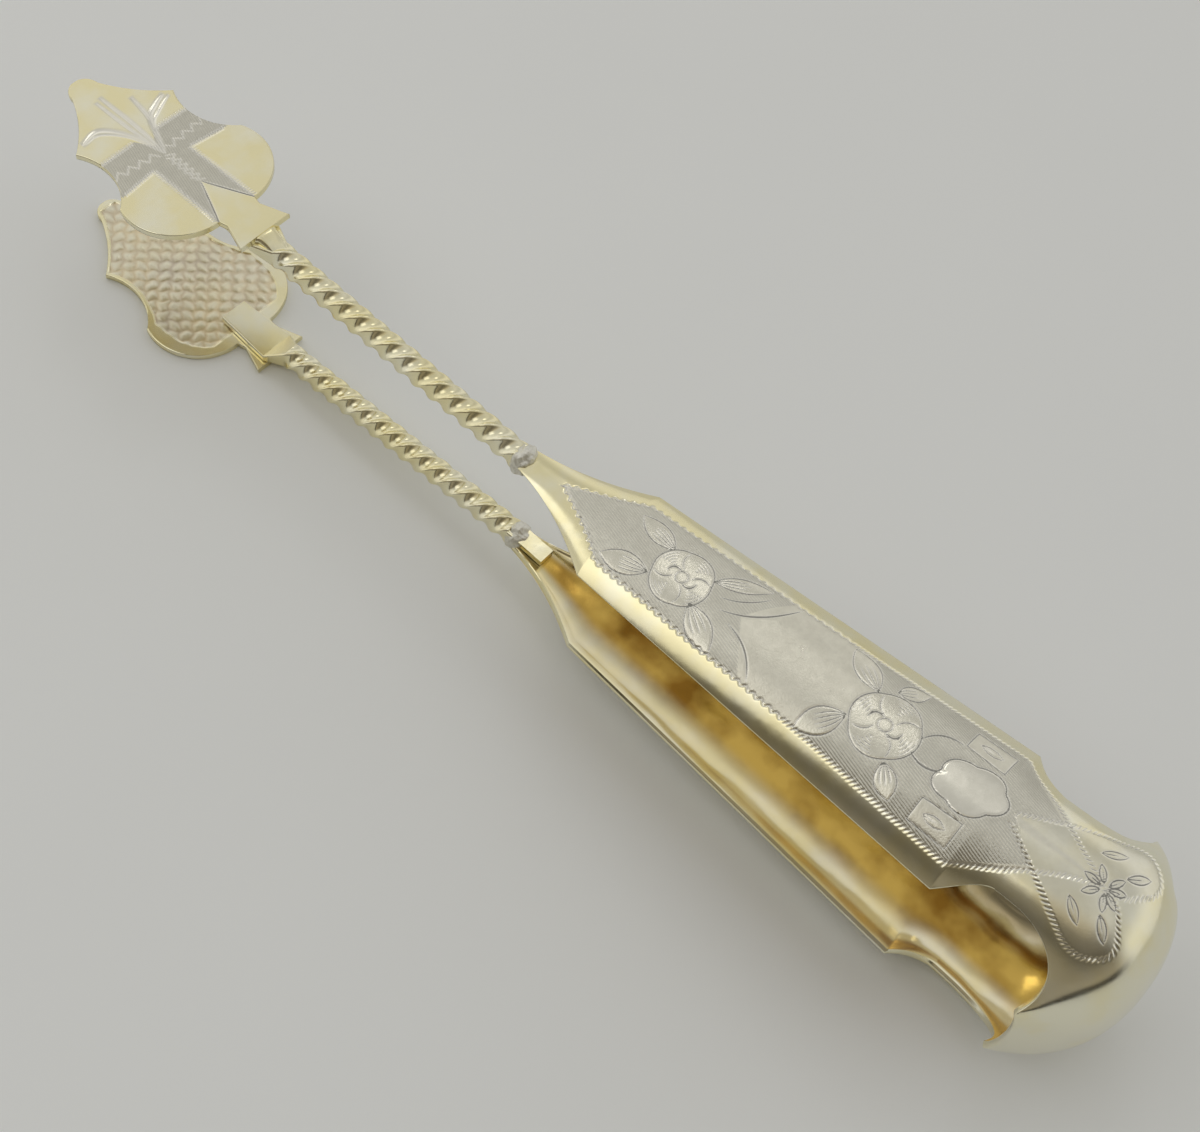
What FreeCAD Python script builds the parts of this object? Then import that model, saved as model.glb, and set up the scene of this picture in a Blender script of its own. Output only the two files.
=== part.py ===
"""Ice tongs bent from one sprung strip of sheet silver, with twisted square shafts and cut-out blades.

The arms are drawn about a mid plane (z = 0) with x running from the blade tips to the back of the bow.
The last step lays the tongs down: they rest on the lower blade and the belly of the bow.
All lengths are in millimetres and all angles in degrees.
"""
import FreeCAD
import Part
import math
import os

Vector = FreeCAD.Vector

# ---- Overall ----
sheet = 0.9  # thickness of the bow and handle strip
arm_slope = 4.85  # rise of each handle's crown towards the bow
rest_slope = 1.5  # slope of the line that touches blade and bow, which lies on the table

# ---- Handle and bow strip: crown line, half width and turned-down depth of its sides ----
# Each length along x follows on from the one before: flare, panel, waist, then up to the bow's start.
tip_x, tip_z, tip_half, tip_drop = 83.6, 10.1, 1.8, 0.2
flare_length, front_half, front_drop = 15.1, 7.7, 2.0
panel_length, rear_half, rear_drop = 54.5, 10.9, 4.6
waist_length, waist_half, waist_drop = 5.5, 7.2, 2.4
bow_lead, bow_length, bow_half, bow_drop = 3.3, 16.6, 13.9, 8.8
bow_reach, bow_bulge = 13.3, 10.2  # how square the bow's corners are, along x and along z
side_curve = 2.5  # how suddenly the sides turn down
flare_curve, flare_drop_curve, waist_curve = 0.65, 1.3, 1.6  # shapes of the flare and the waist
swell_rate = 1.5  # how soon the bow reaches its full width

# ---- Shafts ----
bar, bar_corner = 2.85, 0.42  # twisted square bar
turns = 3.8
twist_start, heel_length = 2.3, 1.2  # from the blade's end to the twist, and from the twist to the handle
twist_under_blade, twist_under_tip = 0.23, 0.85  # bar's top under the blade, its axis under the tip
tongue_width, tongue_thick, tongue_length, tongue_lead = 2.4, 1.2, 5.0, 0.2
tab_length, tab_inset = 8.8, 0.7
tab_width, tab_thick, tab_corner, tab_taper = 5.4, 1.1, 0.3, 0.8

# ---- Blades ----
blade_thick = 0.9
nose_radius = 2.2
flank_x, flank_half = 6.2, 4.5
cheek_x, cheek_half = 10.4, 8.4
side_x, side_half = 16.1, 7.4
lobe_x, lobe_y, lobe_radius, lobe_join_x = 24.2, 3.1, 7.9, 21.6
neck_x, neck_half = 33.4, 2.8
wing_x, wing_half = 37.5, 4.2
grip_pitch, grip_depth = 2.1, 0.22
grip_front_x, grip_back_x, grip_half, grip_margin = 2.2, 27.6, 9.0, 0.8

# ---- Solder ----
collar_radius, collar_lead, collar_rise = 2.25, 0.5, 0.1
bead_radius, bead_width = 0.75, 3.4

stations_across = 8  # points on each half of a strip section
slope = math.radians(arm_slope)
rest = math.radians(rest_slope)


def blend(a, b, t):
    return a + (b - a) * t


def smooth(t):
    t = max(0.0, min(1.0, t))
    return t * t * (3 - 2 * t)


# ---- Strip ----
# Position along a strip half runs from 0 at the handle's tip to 1 at the end of its straight
# crown line, and on to 2 at the back of the bow.
front_x = tip_x + flare_length
rear_x = front_x + panel_length
waist_x = rear_x + waist_length
bow_start_x = waist_x + bow_lead
back_of_bow = bow_start_x + bow_length
crown_rise = math.tan(slope)
start_z = tip_z + (bow_start_x - tip_x) * crown_rise
bow_curve = Part.BezierCurve()
bow_curve.setPoles([
    Vector(bow_start_x, 0, start_z),
    Vector(bow_start_x + bow_reach * math.cos(slope), 0, start_z + bow_reach * math.sin(slope)),
    Vector(back_of_bow, 0, bow_bulge),
    Vector(back_of_bow, 0, 0),
])
front_at = (front_x - tip_x) / (bow_start_x - tip_x)
rear_at = (rear_x - tip_x) / (bow_start_x - tip_x)
waist_at = (waist_x - tip_x) / (bow_start_x - tip_x)


def crown(at):
    """Point and direction of the strip's crown line."""
    if at <= 1:
        x = blend(tip_x, bow_start_x, at)
        return Vector(x, 0, tip_z + (x - tip_x) * crown_rise), Vector(math.cos(slope), 0, math.sin(slope))
    return bow_curve.value(at - 1), Vector(*bow_curve.tangent(at - 1)[0])


def strip_size(at):
    """Half width and side depth of the strip."""
    if at <= front_at:
        t = at / front_at
        widening = blend(t, t * t, flare_curve)
        return blend(tip_half, front_half, widening), blend(tip_drop, front_drop, t ** flare_drop_curve)
    if at <= rear_at:
        t = (at - front_at) / (rear_at - front_at)
        return blend(front_half, rear_half, t), blend(front_drop, rear_drop, t)
    if at <= waist_at:
        t = (at - rear_at) / (waist_at - rear_at)
        return blend(rear_half, waist_half, 1 - (1 - t) ** waist_curve), blend(rear_drop, waist_drop, t)
    t = smooth(swell_rate * (at - waist_at) / (2 - waist_at))
    return blend(waist_half, bow_half, t), blend(waist_drop, bow_drop, t)


def strip_point(at, across, inside=0.0):
    """Point of the strip's outer face, or a point the given depth inside it."""
    centre, along = crown(at)
    half, drop = strip_size(at)
    lean = drop * side_curve * abs(across) ** (side_curve - 1) / half * (1 if across >= 0 else -1)
    length = math.hypot(1, lean)
    side = half * across - inside * lean / length
    depth = drop * abs(across) ** side_curve + inside / length
    return centre + Vector(along.z * depth, side, -along.x * depth)


def strip_section(at):
    steps = range(-stations_across, stations_across + 1)
    faces = []
    for inside in (0.0, sheet):
        line = Part.BSplineCurve()
        line.interpolate([strip_point(at, step / stations_across, inside) for step in steps])
        faces.append(line)
    outer, inner = faces
    inner.reverse()
    return Part.Wire([
        outer.toShape(),
        Part.makeLine(outer.EndPoint, inner.StartPoint),
        inner.toShape(),
        Part.makeLine(inner.EndPoint, outer.StartPoint),
    ])


def strip_length(start, end, count):
    places = [blend(start, end, i / (count - 1)) for i in range(count)]
    return Part.makeLoft([strip_section(at) for at in places], True, count == 2)


def mirrored(shape):
    return shape.mirror(Vector(0, 0, 0), Vector(0, 0, 1))


def make_handle():
    flare = strip_length(0, front_at, 7)
    panel = strip_length(front_at, rear_at, 2)
    waist = strip_length(rear_at, waist_at, 5)
    return flare.fuse([panel, waist])


def make_bow():
    half = strip_length(waist_at, 2, 15)
    return half.fuse(mirrored(half))


def touching_height(samples=200):
    """Height at x = 0 of the sloping line that touches the bow's crown."""
    points = (crown(1 + i / samples)[0] for i in range(samples))
    return max(p.z - math.tan(rest) * p.x for p in points)


touch_z = touching_height()


# ---- Blade ----
def face_height(x):
    """Height of a blade's outer face."""
    return touch_z + math.tan(rest) * x


def arc(*points):
    return Part.Arc(*(Vector(x, y, 0) for x, y in points)).toShape()


def half_outline():
    """Edges of the blade's outline from nose to wing, on the +y side."""
    angle = math.acos((lobe_join_x - lobe_x) / lobe_radius)
    join = (lobe_join_x, lobe_y + lobe_radius * math.sin(angle))
    top = (lobe_x + lobe_radius * math.cos(angle / 2), lobe_y + lobe_radius * math.sin(angle / 2))
    meet = (lobe_x + lobe_radius, lobe_y)
    bend = math.sqrt(0.5) * nose_radius
    return [
        arc((0, 0), (nose_radius - bend, bend), (nose_radius, nose_radius)),
        arc((nose_radius, nose_radius), (flank_x, flank_half), (cheek_x, cheek_half)),
        arc((cheek_x, cheek_half), (side_x, side_half), join),
        arc(join, top, meet),
        Part.makeLine(Vector(*meet, 0), Vector(neck_x, neck_half, 0)),
        Part.makeLine(Vector(neck_x, neck_half, 0), Vector(wing_x, wing_half, 0)),
    ]


def make_outline():
    side = half_outline()
    other = [edge.mirror(Vector(0, 0, 0), Vector(0, 1, 0)) for edge in side]
    end = Part.makeLine(Vector(wing_x, wing_half, 0), Vector(wing_x, -wing_half, 0))
    return Part.Wire(Part.__sortEdges__(side + [end] + other))


def grip_region():
    """Middle of the blade's inner side, where the grip is cut."""
    inset = Part.Face(make_outline().makeOffset2D(-grip_margin)).extrude(Vector(0, 0, 1))
    length = grip_back_x - grip_front_x
    return inset.common(Part.makeBox(length, 2 * grip_half, 1, Vector(grip_front_x, -grip_half, 0)))


def grip_grooves(turn):
    """Parallel V grooves across the blade's inner side, turned by the given angle."""
    reach = 2 * grip_half + grip_back_x
    notch = [Vector(0, -grip_depth, 0), Vector(0, grip_depth, 0), Vector(0, 0, grip_depth)]
    groove = Part.Face(Part.makePolygon(notch + notch[:1])).extrude(Vector(reach, 0, 0))
    count = int(reach / grip_pitch / 2)
    grooves = []
    for i in range(-count, count + 1):
        copy = groove.copy()
        copy.translate(Vector(-reach / 2, i * grip_pitch, 0))
        copy.rotate(Vector(0, 0, 0), Vector(0, 0, 1), turn)
        copy.translate(Vector(grip_back_x / 2, 0, 0))
        grooves.append(copy)
    return grooves


def make_blade():
    plate = Part.Face(make_outline()).extrude(Vector(0, 0, blade_thick))
    region = grip_region()
    for turn in (-45, 45):
        inside = [groove.common(region) for groove in grip_grooves(turn)]
        plate = plate.cut([groove for groove in inside if groove.Volume > 0])
    plate.rotate(Vector(0, 0, 0), Vector(0, 1, 0), -rest_slope)
    plate.translate(Vector(0, 0, face_height(0) - blade_thick / math.cos(rest)))
    return plate


# ---- Shaft ----
twist_front_x, twist_back_x = wing_x + twist_start, tip_x - heel_length
shaft_front_z = face_height(twist_front_x) - blade_thick - twist_under_blade - bar / 2
shaft_back_z = tip_z - twist_under_tip
tab_front_x, tab_back_x = wing_x - tab_inset - tab_length, wing_x - tab_inset


def shaft_z(x):
    t = (x - twist_front_x) / (twist_back_x - twist_front_x)
    return blend(shaft_front_z, shaft_back_z, t)


def bar_section(width, height, corner, place, lean):
    """Rounded rectangle across the x axis, leant back by the given angle."""
    a, b = width / 2, height / 2
    c, d = a - corner, b - corner
    e, f = a - corner * (1 - math.sqrt(0.5)), b - corner * (1 - math.sqrt(0.5))
    edges = []
    for sy, sz in ((1, 1), (-1, 1), (-1, -1), (1, -1)):
        first, last = Vector(0, sy * a, sz * d), Vector(0, sy * c, sz * b)
        if sy * sz < 0:
            first, last = last, first
        edges.append(Part.Arc(first, Vector(0, sy * e, sz * f), last).toShape())
    for i in range(4):
        start, end = edges[i].lastVertex().Point, edges[(i + 1) % 4].firstVertex().Point
        edges.append(Part.makeLine(start, end))
    wire = Part.Wire(Part.__sortEdges__(edges))
    wire.rotate(Vector(0, 0, 0), Vector(0, 1, 0), lean)
    wire.translate(place)
    return wire


def twisted_bar():
    start = Vector(twist_front_x, 0, shaft_front_z)
    end = Vector(twist_back_x, 0, shaft_back_z)
    run = end.sub(start).Length
    spine = Part.Wire([Part.makeLine(Vector(0, 0, 0), Vector(0, 0, run))])
    helix = Part.makeHelix(run / turns, run, bar, 0, True)
    profile = bar_section(bar, bar, bar_corner, Vector(0, 0, 0), 0)
    profile.rotate(Vector(0, 0, 0), Vector(0, 1, 0), -90)
    sweep = Part.BRepOffsetAPI.MakePipeShell(spine)
    sweep.setAuxiliarySpine(helix, True, 0)
    sweep.add(profile)
    sweep.build()
    sweep.makeSolid()
    body = sweep.shape()
    pitch = math.degrees(math.atan2(end.x - start.x, end.z - start.z))
    body.rotate(Vector(0, 0, 0), Vector(0, 1, 0), pitch)
    body.translate(start)
    return body


def tab_section(x, width):
    """Section of the flat tab under the blade."""
    place = Vector(x, 0, face_height(x) - blade_thick - tab_thick / 2)
    return bar_section(width, tab_thick, tab_corner, place, 0)


def square_section(x):
    lean = math.degrees(math.atan2(shaft_front_z - shaft_back_z, twist_back_x - twist_front_x))
    return bar_section(bar, bar, bar_corner, Vector(x, 0, shaft_z(x)), lean)


def make_tongue():
    """Flat end of the shaft, under the tip of the handle."""
    tongue = Part.makeBox(tongue_length, tongue_width, tongue_thick, Vector(0, -tongue_width / 2, 0))
    tongue.rotate(Vector(0, 0, 0), Vector(0, 1, 0), -arm_slope)
    tongue.translate(Vector(tip_x - tongue_lead, 0, tip_z - sheet - tongue_thick))
    return tongue


def make_shaft():
    front = tab_section(tab_back_x, tab_width)
    tab = Part.makeLoft([tab_section(tab_front_x, tab_width * tab_taper), front], True, True)
    flow = Part.makeLoft([front, square_section(twist_front_x)], True, True)
    heel = Part.makeLoft([square_section(twist_back_x), square_section(tip_x)], True, True)
    return tab.fuse([flow, twisted_bar(), heel, make_tongue()])


# ---- Solder ----
def largest(shape):
    return max(shape.Solids, key=lambda solid: solid.Volume)


def make_collar(shaft, handle):
    """Solder round the end of the shaft where it meets the tip of the handle."""
    ball = Part.makeSphere(collar_radius)
    ball.rotate(Vector(0, 0, 0), Vector(0, 1, 0), 90)
    ball.translate(Vector(tip_x - collar_lead, 0, shaft_z(tip_x) + collar_rise))
    return largest(ball.cut(shaft).cut(handle))


def make_bead(shaft, blade):
    """Fillet of solder across the shaft, against the end of the blade."""
    corner = Vector(wing_x, -bead_width / 2, face_height(wing_x) - blade_thick)
    return largest(Part.makeCylinder(bead_radius, bead_width, corner, Vector(0, 1, 0)).cut(shaft).cut(blade))


def make_parts():
    """Every piece, with the mid plane at z = 0. The two shafts twist the same way."""
    handle = make_handle()
    blade = make_blade()
    shaft = make_shaft().cut(handle).cut(blade)
    collar = make_collar(shaft, handle)
    bead = make_bead(shaft, blade)
    lower_shaft = shaft.copy()
    lower_shaft.rotate(Vector(0, 0, 0), Vector(1, 0, 0), 180)
    lower_handle, lower_blade = mirrored(handle), mirrored(blade)
    return {
        "bow": make_bow(),
        "upper_handle": handle,
        "lower_handle": lower_handle,
        "upper_shaft": shaft,
        "lower_shaft": lower_shaft,
        "upper_blade": blade,
        "lower_blade": lower_blade,
        "upper_collar": collar,
        "lower_collar": make_lower(make_collar, lower_shaft, lower_handle),
        "upper_bead": bead,
        "lower_bead": make_lower(make_bead, lower_shaft, lower_blade),
    }


def make_lower(make, shaft, other):
    """The lower arm's solder, made upside down against its own shaft and turned back."""
    turned = [piece.copy() for piece in (shaft, other)]
    for piece in turned:
        piece.rotate(Vector(0, 0, 0), Vector(1, 0, 0), 180)
    solder = make(*turned)
    solder.rotate(Vector(0, 0, 0), Vector(1, 0, 0), 180)
    return solder


def lay_down(shapes):
    """Turn the tongs so that they rest on the table, with the origin under their middle."""
    for shape in shapes.values():
        shape.rotate(Vector(0, 0, 0), Vector(0, 1, 0), -rest_slope)
    box = Part.makeCompound(list(shapes.values())).optimalBoundingBox(False, False)
    for shape in shapes.values():
        shape.translate(Vector(-(box.XMin + box.XMax) / 2, 0, -box.ZMin))


parts = make_parts()
lay_down(parts)
os.makedirs("parts", exist_ok=True)
for name, shape in parts.items():
    shape.exportStep(f"parts/{name}.step")
    print(name, shape.ShapeType, len(shape.Solids), round(shape.Volume, 2), shape.isValid())
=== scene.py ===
import bmesh
import bpy
import math
import numpy as np
from mathutils import Matrix, Vector, noise


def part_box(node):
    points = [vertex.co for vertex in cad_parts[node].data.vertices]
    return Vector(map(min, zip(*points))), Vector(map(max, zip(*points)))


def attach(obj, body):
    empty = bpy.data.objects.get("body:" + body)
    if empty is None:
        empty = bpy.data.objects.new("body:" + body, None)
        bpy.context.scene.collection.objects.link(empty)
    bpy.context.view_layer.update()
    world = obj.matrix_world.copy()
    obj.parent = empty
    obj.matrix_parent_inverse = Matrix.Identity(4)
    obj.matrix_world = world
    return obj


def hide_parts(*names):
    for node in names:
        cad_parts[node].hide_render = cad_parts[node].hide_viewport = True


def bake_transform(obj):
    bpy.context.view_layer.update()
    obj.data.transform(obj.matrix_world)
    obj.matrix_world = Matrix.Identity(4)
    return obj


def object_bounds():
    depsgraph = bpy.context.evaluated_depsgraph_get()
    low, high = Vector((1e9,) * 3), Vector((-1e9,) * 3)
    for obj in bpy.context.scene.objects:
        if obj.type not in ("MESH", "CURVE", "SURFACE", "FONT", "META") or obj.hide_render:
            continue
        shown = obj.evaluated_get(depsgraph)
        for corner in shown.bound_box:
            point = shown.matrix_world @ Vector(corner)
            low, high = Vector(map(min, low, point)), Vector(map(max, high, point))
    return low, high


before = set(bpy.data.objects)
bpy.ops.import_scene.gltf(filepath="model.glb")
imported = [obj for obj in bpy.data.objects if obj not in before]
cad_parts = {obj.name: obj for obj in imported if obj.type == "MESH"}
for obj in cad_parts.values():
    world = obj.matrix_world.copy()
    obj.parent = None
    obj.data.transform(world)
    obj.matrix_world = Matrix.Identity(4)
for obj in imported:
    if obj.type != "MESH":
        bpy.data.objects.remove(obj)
cad_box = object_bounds()

# Ice tongs: silver-gilt strip with engraved handles, twisted shafts and cut-out blades.
# Design sizes are in millimetres, in the part's own frame: x from the blade tips to the back of the bow,
# z = 0 at the mid plane between the arms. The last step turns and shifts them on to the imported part.

# ---- Strip, as in the part ----
back_of_bow, sheet = 178.6, 0.9
arm_slope, rest_slope = math.radians(4.85), math.radians(1.5)
tip_x, tip_z, tip_half, tip_drop = 83.6, 10.1, 1.8, 0.2
front_x, front_half, front_drop = 98.7, 7.7, 2.0
rear_x, rear_half, rear_drop = 153.2, 10.9, 4.6
waist_x, waist_half, waist_drop = 158.7, 7.2, 2.4
bow_half, bow_drop = 13.9, 8.8
bow_start_x = 162.0
bow_reach, bow_bulge = 13.3, 10.2
side_curve, swell_rate = 2.5, 1.5
start_z = tip_z + (bow_start_x - tip_x) * math.tan(arm_slope)
front_at, rear_at, waist_at = ((x - tip_x) / (bow_start_x - tip_x) for x in (front_x, rear_x, waist_x))
bow_poles = np.array([
    [bow_start_x, start_z],
    [bow_start_x + bow_reach * math.cos(arm_slope), start_z + bow_reach * math.sin(arm_slope)],
    [back_of_bow, bow_bulge],
    [back_of_bow, 0],
])

# ---- Blade, as in the part ----
blade_thick = 0.9
nose_radius = 2.2
cheek_x, cheek_half = 10.4, 8.4
side_x, side_half = 16.1, 7.4
lobe_x, lobe_y, lobe_radius, lobe_join_x = 24.2, 3.1, 7.9, 21.6
neck_x, neck_half = 33.4, 2.8
wing_x, wing_half = 37.5, 4.2


def mix(a, b, t):
    return a + (b - a) * t


def smooth(t):
    t = np.clip(t, 0, 1)
    return t * t * (3 - 2 * t)


def between(x, start, end, rise, fall):
    """1 from start to end and 0 outside, with ramps of lengths rise and fall just inside."""
    return smooth((x - start) / rise) * smooth((end - x) / fall)


# ---- Strip surface ----
def crown(at):
    """Points (x, z) and directions of the strip's crown line."""
    t = np.clip(at - 1, 0, 1)[:, None]
    p = bow_poles
    curve = (1 - t) ** 3 * p[0] + 3 * (1 - t) ** 2 * t * p[1] + 3 * (1 - t) * t * t * p[2] + t ** 3 * p[3]
    slope = 3 * (1 - t) ** 2 * (p[1] - p[0]) + 6 * (1 - t) * t * (p[2] - p[1]) + 3 * t * t * (p[3] - p[2])
    x = mix(tip_x, bow_start_x, np.minimum(at, 1))
    line = np.stack([x, tip_z + (x - tip_x) * math.tan(arm_slope)], 1)
    straight = at[:, None] <= 1
    points = np.where(straight, line, curve)
    level = np.array([math.cos(arm_slope), math.sin(arm_slope)])
    slope = slope / np.linalg.norm(slope, axis=1, keepdims=True)
    return points, np.where(straight, level, slope)


def strip_size(at):
    """Half width and side depth of the strip."""
    flare = np.clip(at / front_at, 0, 1)
    panel = (at - front_at) / (rear_at - front_at)
    waist = np.clip((at - rear_at) / (waist_at - rear_at), 0, 1)
    bow = smooth(swell_rate * (at - waist_at) / (2 - waist_at))
    spans = [at <= front_at, at <= rear_at, at <= waist_at]
    half = np.select(spans, [
        mix(tip_half, front_half, 0.35 * flare + 0.65 * flare * flare),
        mix(front_half, rear_half, panel),
        mix(rear_half, waist_half, 1 - (1 - waist) ** 1.6),
    ], mix(waist_half, bow_half, bow))
    drop = np.select(spans, [
        mix(tip_drop, front_drop, flare ** 1.3),
        mix(front_drop, rear_drop, panel),
        mix(rear_drop, waist_drop, smooth(waist)),
    ], mix(waist_drop, bow_drop, bow))
    return half, drop


def strip_surface(at, across, inside=0.0):
    """Grid of points at (at, across), a given depth inside the outer face."""
    centre, along = crown(at)
    half, drop = (a[:, None] for a in strip_size(at))
    v = np.asarray(across)[None, :]
    lean = drop * side_curve * np.abs(v) ** (side_curve - 1) / half * np.sign(v)
    length = np.hypot(1, lean)
    side = half * v - inside * lean / length
    depth = drop * np.abs(v) ** side_curve + inside / length
    x = centre[:, :1] + along[:, 1:] * depth
    z = centre[:, 1:] - along[:, :1] * depth
    return np.stack([x, side, z], -1)


fine_at = np.linspace(0, 2, 4001)


def path_lengths(points):
    """Distance to each point of a line from its start."""
    return np.concatenate([[0], np.cumsum(np.hypot(*np.diff(points, axis=0).T))])


def run_along(at):
    """Distance from the handle's tip along the crown."""
    return np.interp(at, fine_at, path_lengths(crown(fine_at)[0]))


def at_places(start, end, count):
    """Stations at even distances along the crown."""
    ends = run_along(np.array([start, end]))
    return np.interp(np.linspace(*ends, count), run_along(fine_at), fine_at)


def run_across(at, across):
    """Distance from the crown round the section, for each point of the grid."""
    steps = 100
    points = strip_surface(at, np.linspace(0, 1, steps + 1))
    sides = np.linalg.norm(np.diff(points, axis=1), axis=2)
    lengths = np.concatenate([np.zeros((len(at), 1)), np.cumsum(sides, axis=1)], 1)
    place = np.abs(across) * steps
    low = np.minimum(place.astype(int), steps - 1)
    near = mix(lengths[:, low], lengths[:, low + 1], place - low)
    return near * np.sign(across)


# ---- Engraving ----
far_away, tiny = 9.0, 1e-9


class Sheet:
    """Depth of cut and finish over a grid of flat places (s, w), in millimetres."""

    def __init__(self, s, w):
        self.s, self.w = s, w
        self.depth = np.zeros(s.shape)
        self.finish = {name: np.zeros(s.shape) for name in ("silver", "cut", "hatch", "satin")}

    def window(self, low, high):
        """The part of the grid that can lie between two corners, or None."""
        cols = np.nonzero((self.s[:, 0] >= low[0]) & (self.s[:, 0] <= high[0]))[0]
        if not len(cols):
            return None
        c = slice(cols[0], cols[-1] + 1)
        rows = np.nonzero(((self.w[c] >= low[1]) & (self.w[c] <= high[1])).any(0))[0]
        if not len(rows):
            return None
        return c, slice(rows[0], rows[-1] + 1)

    def stroke(self, points, width, depth, taper=1.0, bright=1.0):
        """A V cut along a line, fading to a point at its ends when taper is 1."""
        points = np.array(points, float)
        place = self.window(points.min(0) - width, points.max(0) + width)
        if place is None:
            return
        s, w = self.s[place], self.w[place]
        best = np.full(s.shape, far_away)
        where = np.zeros(s.shape)
        steps = np.hypot(*np.diff(points, axis=0).T)
        total = steps.sum()
        run = 0.0
        for (a, b), step in zip(zip(points[:-1], points[1:]), steps):
            if step < tiny:
                continue
            t, gap = to_segment(s, w, a, (b - a) / step, step)
            closer = gap < best
            best = np.where(closer, gap, best)
            where = np.where(closer, (run + t) / total, where)
            run += step
        swell = mix(1, np.sqrt(np.clip(4 * where * (1 - where), 0, 1)), taper)
        shape = np.clip(1 - best / (width / 2 * np.maximum(swell, 0.05)), 0, 1)
        self.depth[place] = np.maximum(self.depth[place], depth * swell * shape)
        mask = np.clip(shape * 1.5, 0, 1) * bright
        self.finish["cut"][place] = np.maximum(self.finish["cut"][place], mask)

    def fill(self, name, outline, value=1.0, soft=0.12):
        """Gives a finish to the inside of a closed outline."""
        outline = np.array(outline, float)
        place = self.window(outline.min(0) - soft, outline.max(0) + soft)
        if place is None:
            return
        s, w = self.s[place], self.w[place]
        inside = np.zeros(s.shape, bool)
        gap = np.full(s.shape, far_away)
        for a, b in zip(outline, np.roll(outline, -1, 0)):
            crossing = (a[1] > w) != (b[1] > w)
            with np.errstate(divide="ignore", invalid="ignore"):
                edge = (b[0] - a[0]) * (w - a[1]) / (b[1] - a[1]) + a[0]
            inside ^= crossing & (s < edge)
            step = np.hypot(*(b - a))
            if step < tiny:
                continue
            gap = np.minimum(gap, to_segment(s, w, a, (b - a) / step, step)[1])
        mask = smooth(0.5 + np.where(inside, gap, -gap) / soft)
        self.finish[name][place] = mix(self.finish[name][place], value, mask)


def to_segment(s, w, start, direction, length):
    """Distance along a straight cut to the place nearest each point, and the gap to it."""
    t = np.clip((s - start[0]) * direction[0] + (w - start[1]) * direction[1], 0, length)
    return t, np.hypot(s - start[0] - t * direction[0], w - start[1] - t * direction[1])


def arc_points(centre, radius, start, end, count):
    angles = np.radians(np.linspace(start, end, count))
    return [(centre[0] + radius * math.cos(a), centre[1] + radius * math.sin(a)) for a in angles]


def bent(a, b, bulge):
    """Points from a to b along a shallow curve that stands bulge to the left of the straight line."""
    a, b = np.array(a, float), np.array(b, float)
    side = np.array([a[1] - b[1], b[0] - a[0]])
    side = side / max(np.hypot(*side), tiny)
    t = np.linspace(0, 1, 12)[:, None]
    return a + (b - a) * t + side * bulge * 4 * t * (1 - t)


def through(points):
    """Smooth line through a few points."""
    p = np.array(points, float)
    p = np.vstack([2 * p[0] - p[1], p, 2 * p[-1] - p[-2]])
    out = []
    for i in range(1, len(p) - 2):
        t = np.linspace(0, 1, 8, endpoint=False)[:, None]
        a, b, c, d = p[i - 1:i + 3]
        square, cube = 2 * a - 5 * b + 4 * c - d, 3 * b - a - 3 * c + d
        out.append(0.5 * (2 * b + (c - a) * t + square * t * t + cube * t ** 3))
    out.append(p[-2:-1])
    return np.vstack(out)


def even(points, pitch):
    """Places along a line at an even pitch, with the direction there."""
    p = np.array(points, float)
    run = path_lengths(p)
    places = np.arange(pitch / 2, run[-1], pitch)
    reach = 0.05
    back, here, ahead = (
        np.stack([np.interp(places + offset, run, p[:, k]) for k in (0, 1)], 1) for offset in (-reach, 0, reach)
    )
    d = ahead - back
    return list(zip(here, d / np.maximum(np.hypot(*d.T)[:, None], tiny)))


def beaded(area, line, pitch=0.6, width=0.62):
    """Border of slanting nicks: a wriggle of nicks leaning both ways, then a rope of nicks leaning one way."""
    rope_from = 46.0
    for i, (p, d) in enumerate(even(line, pitch)):
        side = np.array([-d[1], d[0]])
        lean = -0.5 if i % 2 and p[0] < rope_from else 0.5
        a = p - side * width / 2 - d * pitch * lean
        b = p + side * width / 2 + d * pitch * lean
        area.stroke([a, b], 0.36, 0.12, taper=0.6, bright=0.8)


def plain_field(area, outline):
    """Clears the hatching inside an outline and leaves it lightly satin."""
    area.fill("hatch", outline, 0.0)
    area.fill("satin", outline, 0.5)


def leaf(area, root, tip, bulge, veins, width=0.36, depth=0.1):
    """Pointed leaf of two cut edges and a few veins from its root."""
    root, tip = np.array(root, float), np.array(tip, float)
    left, right = bent(root, tip, bulge), bent(root, tip, -bulge)
    plain_field(area, np.vstack([left, right[::-1]]))
    area.stroke(left, width, depth, taper=0.75)
    area.stroke(right, width, depth, taper=0.75)
    side = np.array([root[1] - tip[1], tip[0] - root[0]]) / np.hypot(*(tip - root))
    for i in range(veins):
        lean = (i - (veins - 1) / 2) / veins
        end = mix(root, tip, 0.62 - 0.1 * abs(lean)) + side * bulge * lean * 1.3
        area.stroke(bent(root, end, bulge * lean * 0.5), width * 0.75, depth * 0.8, taper=0.9)


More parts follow.
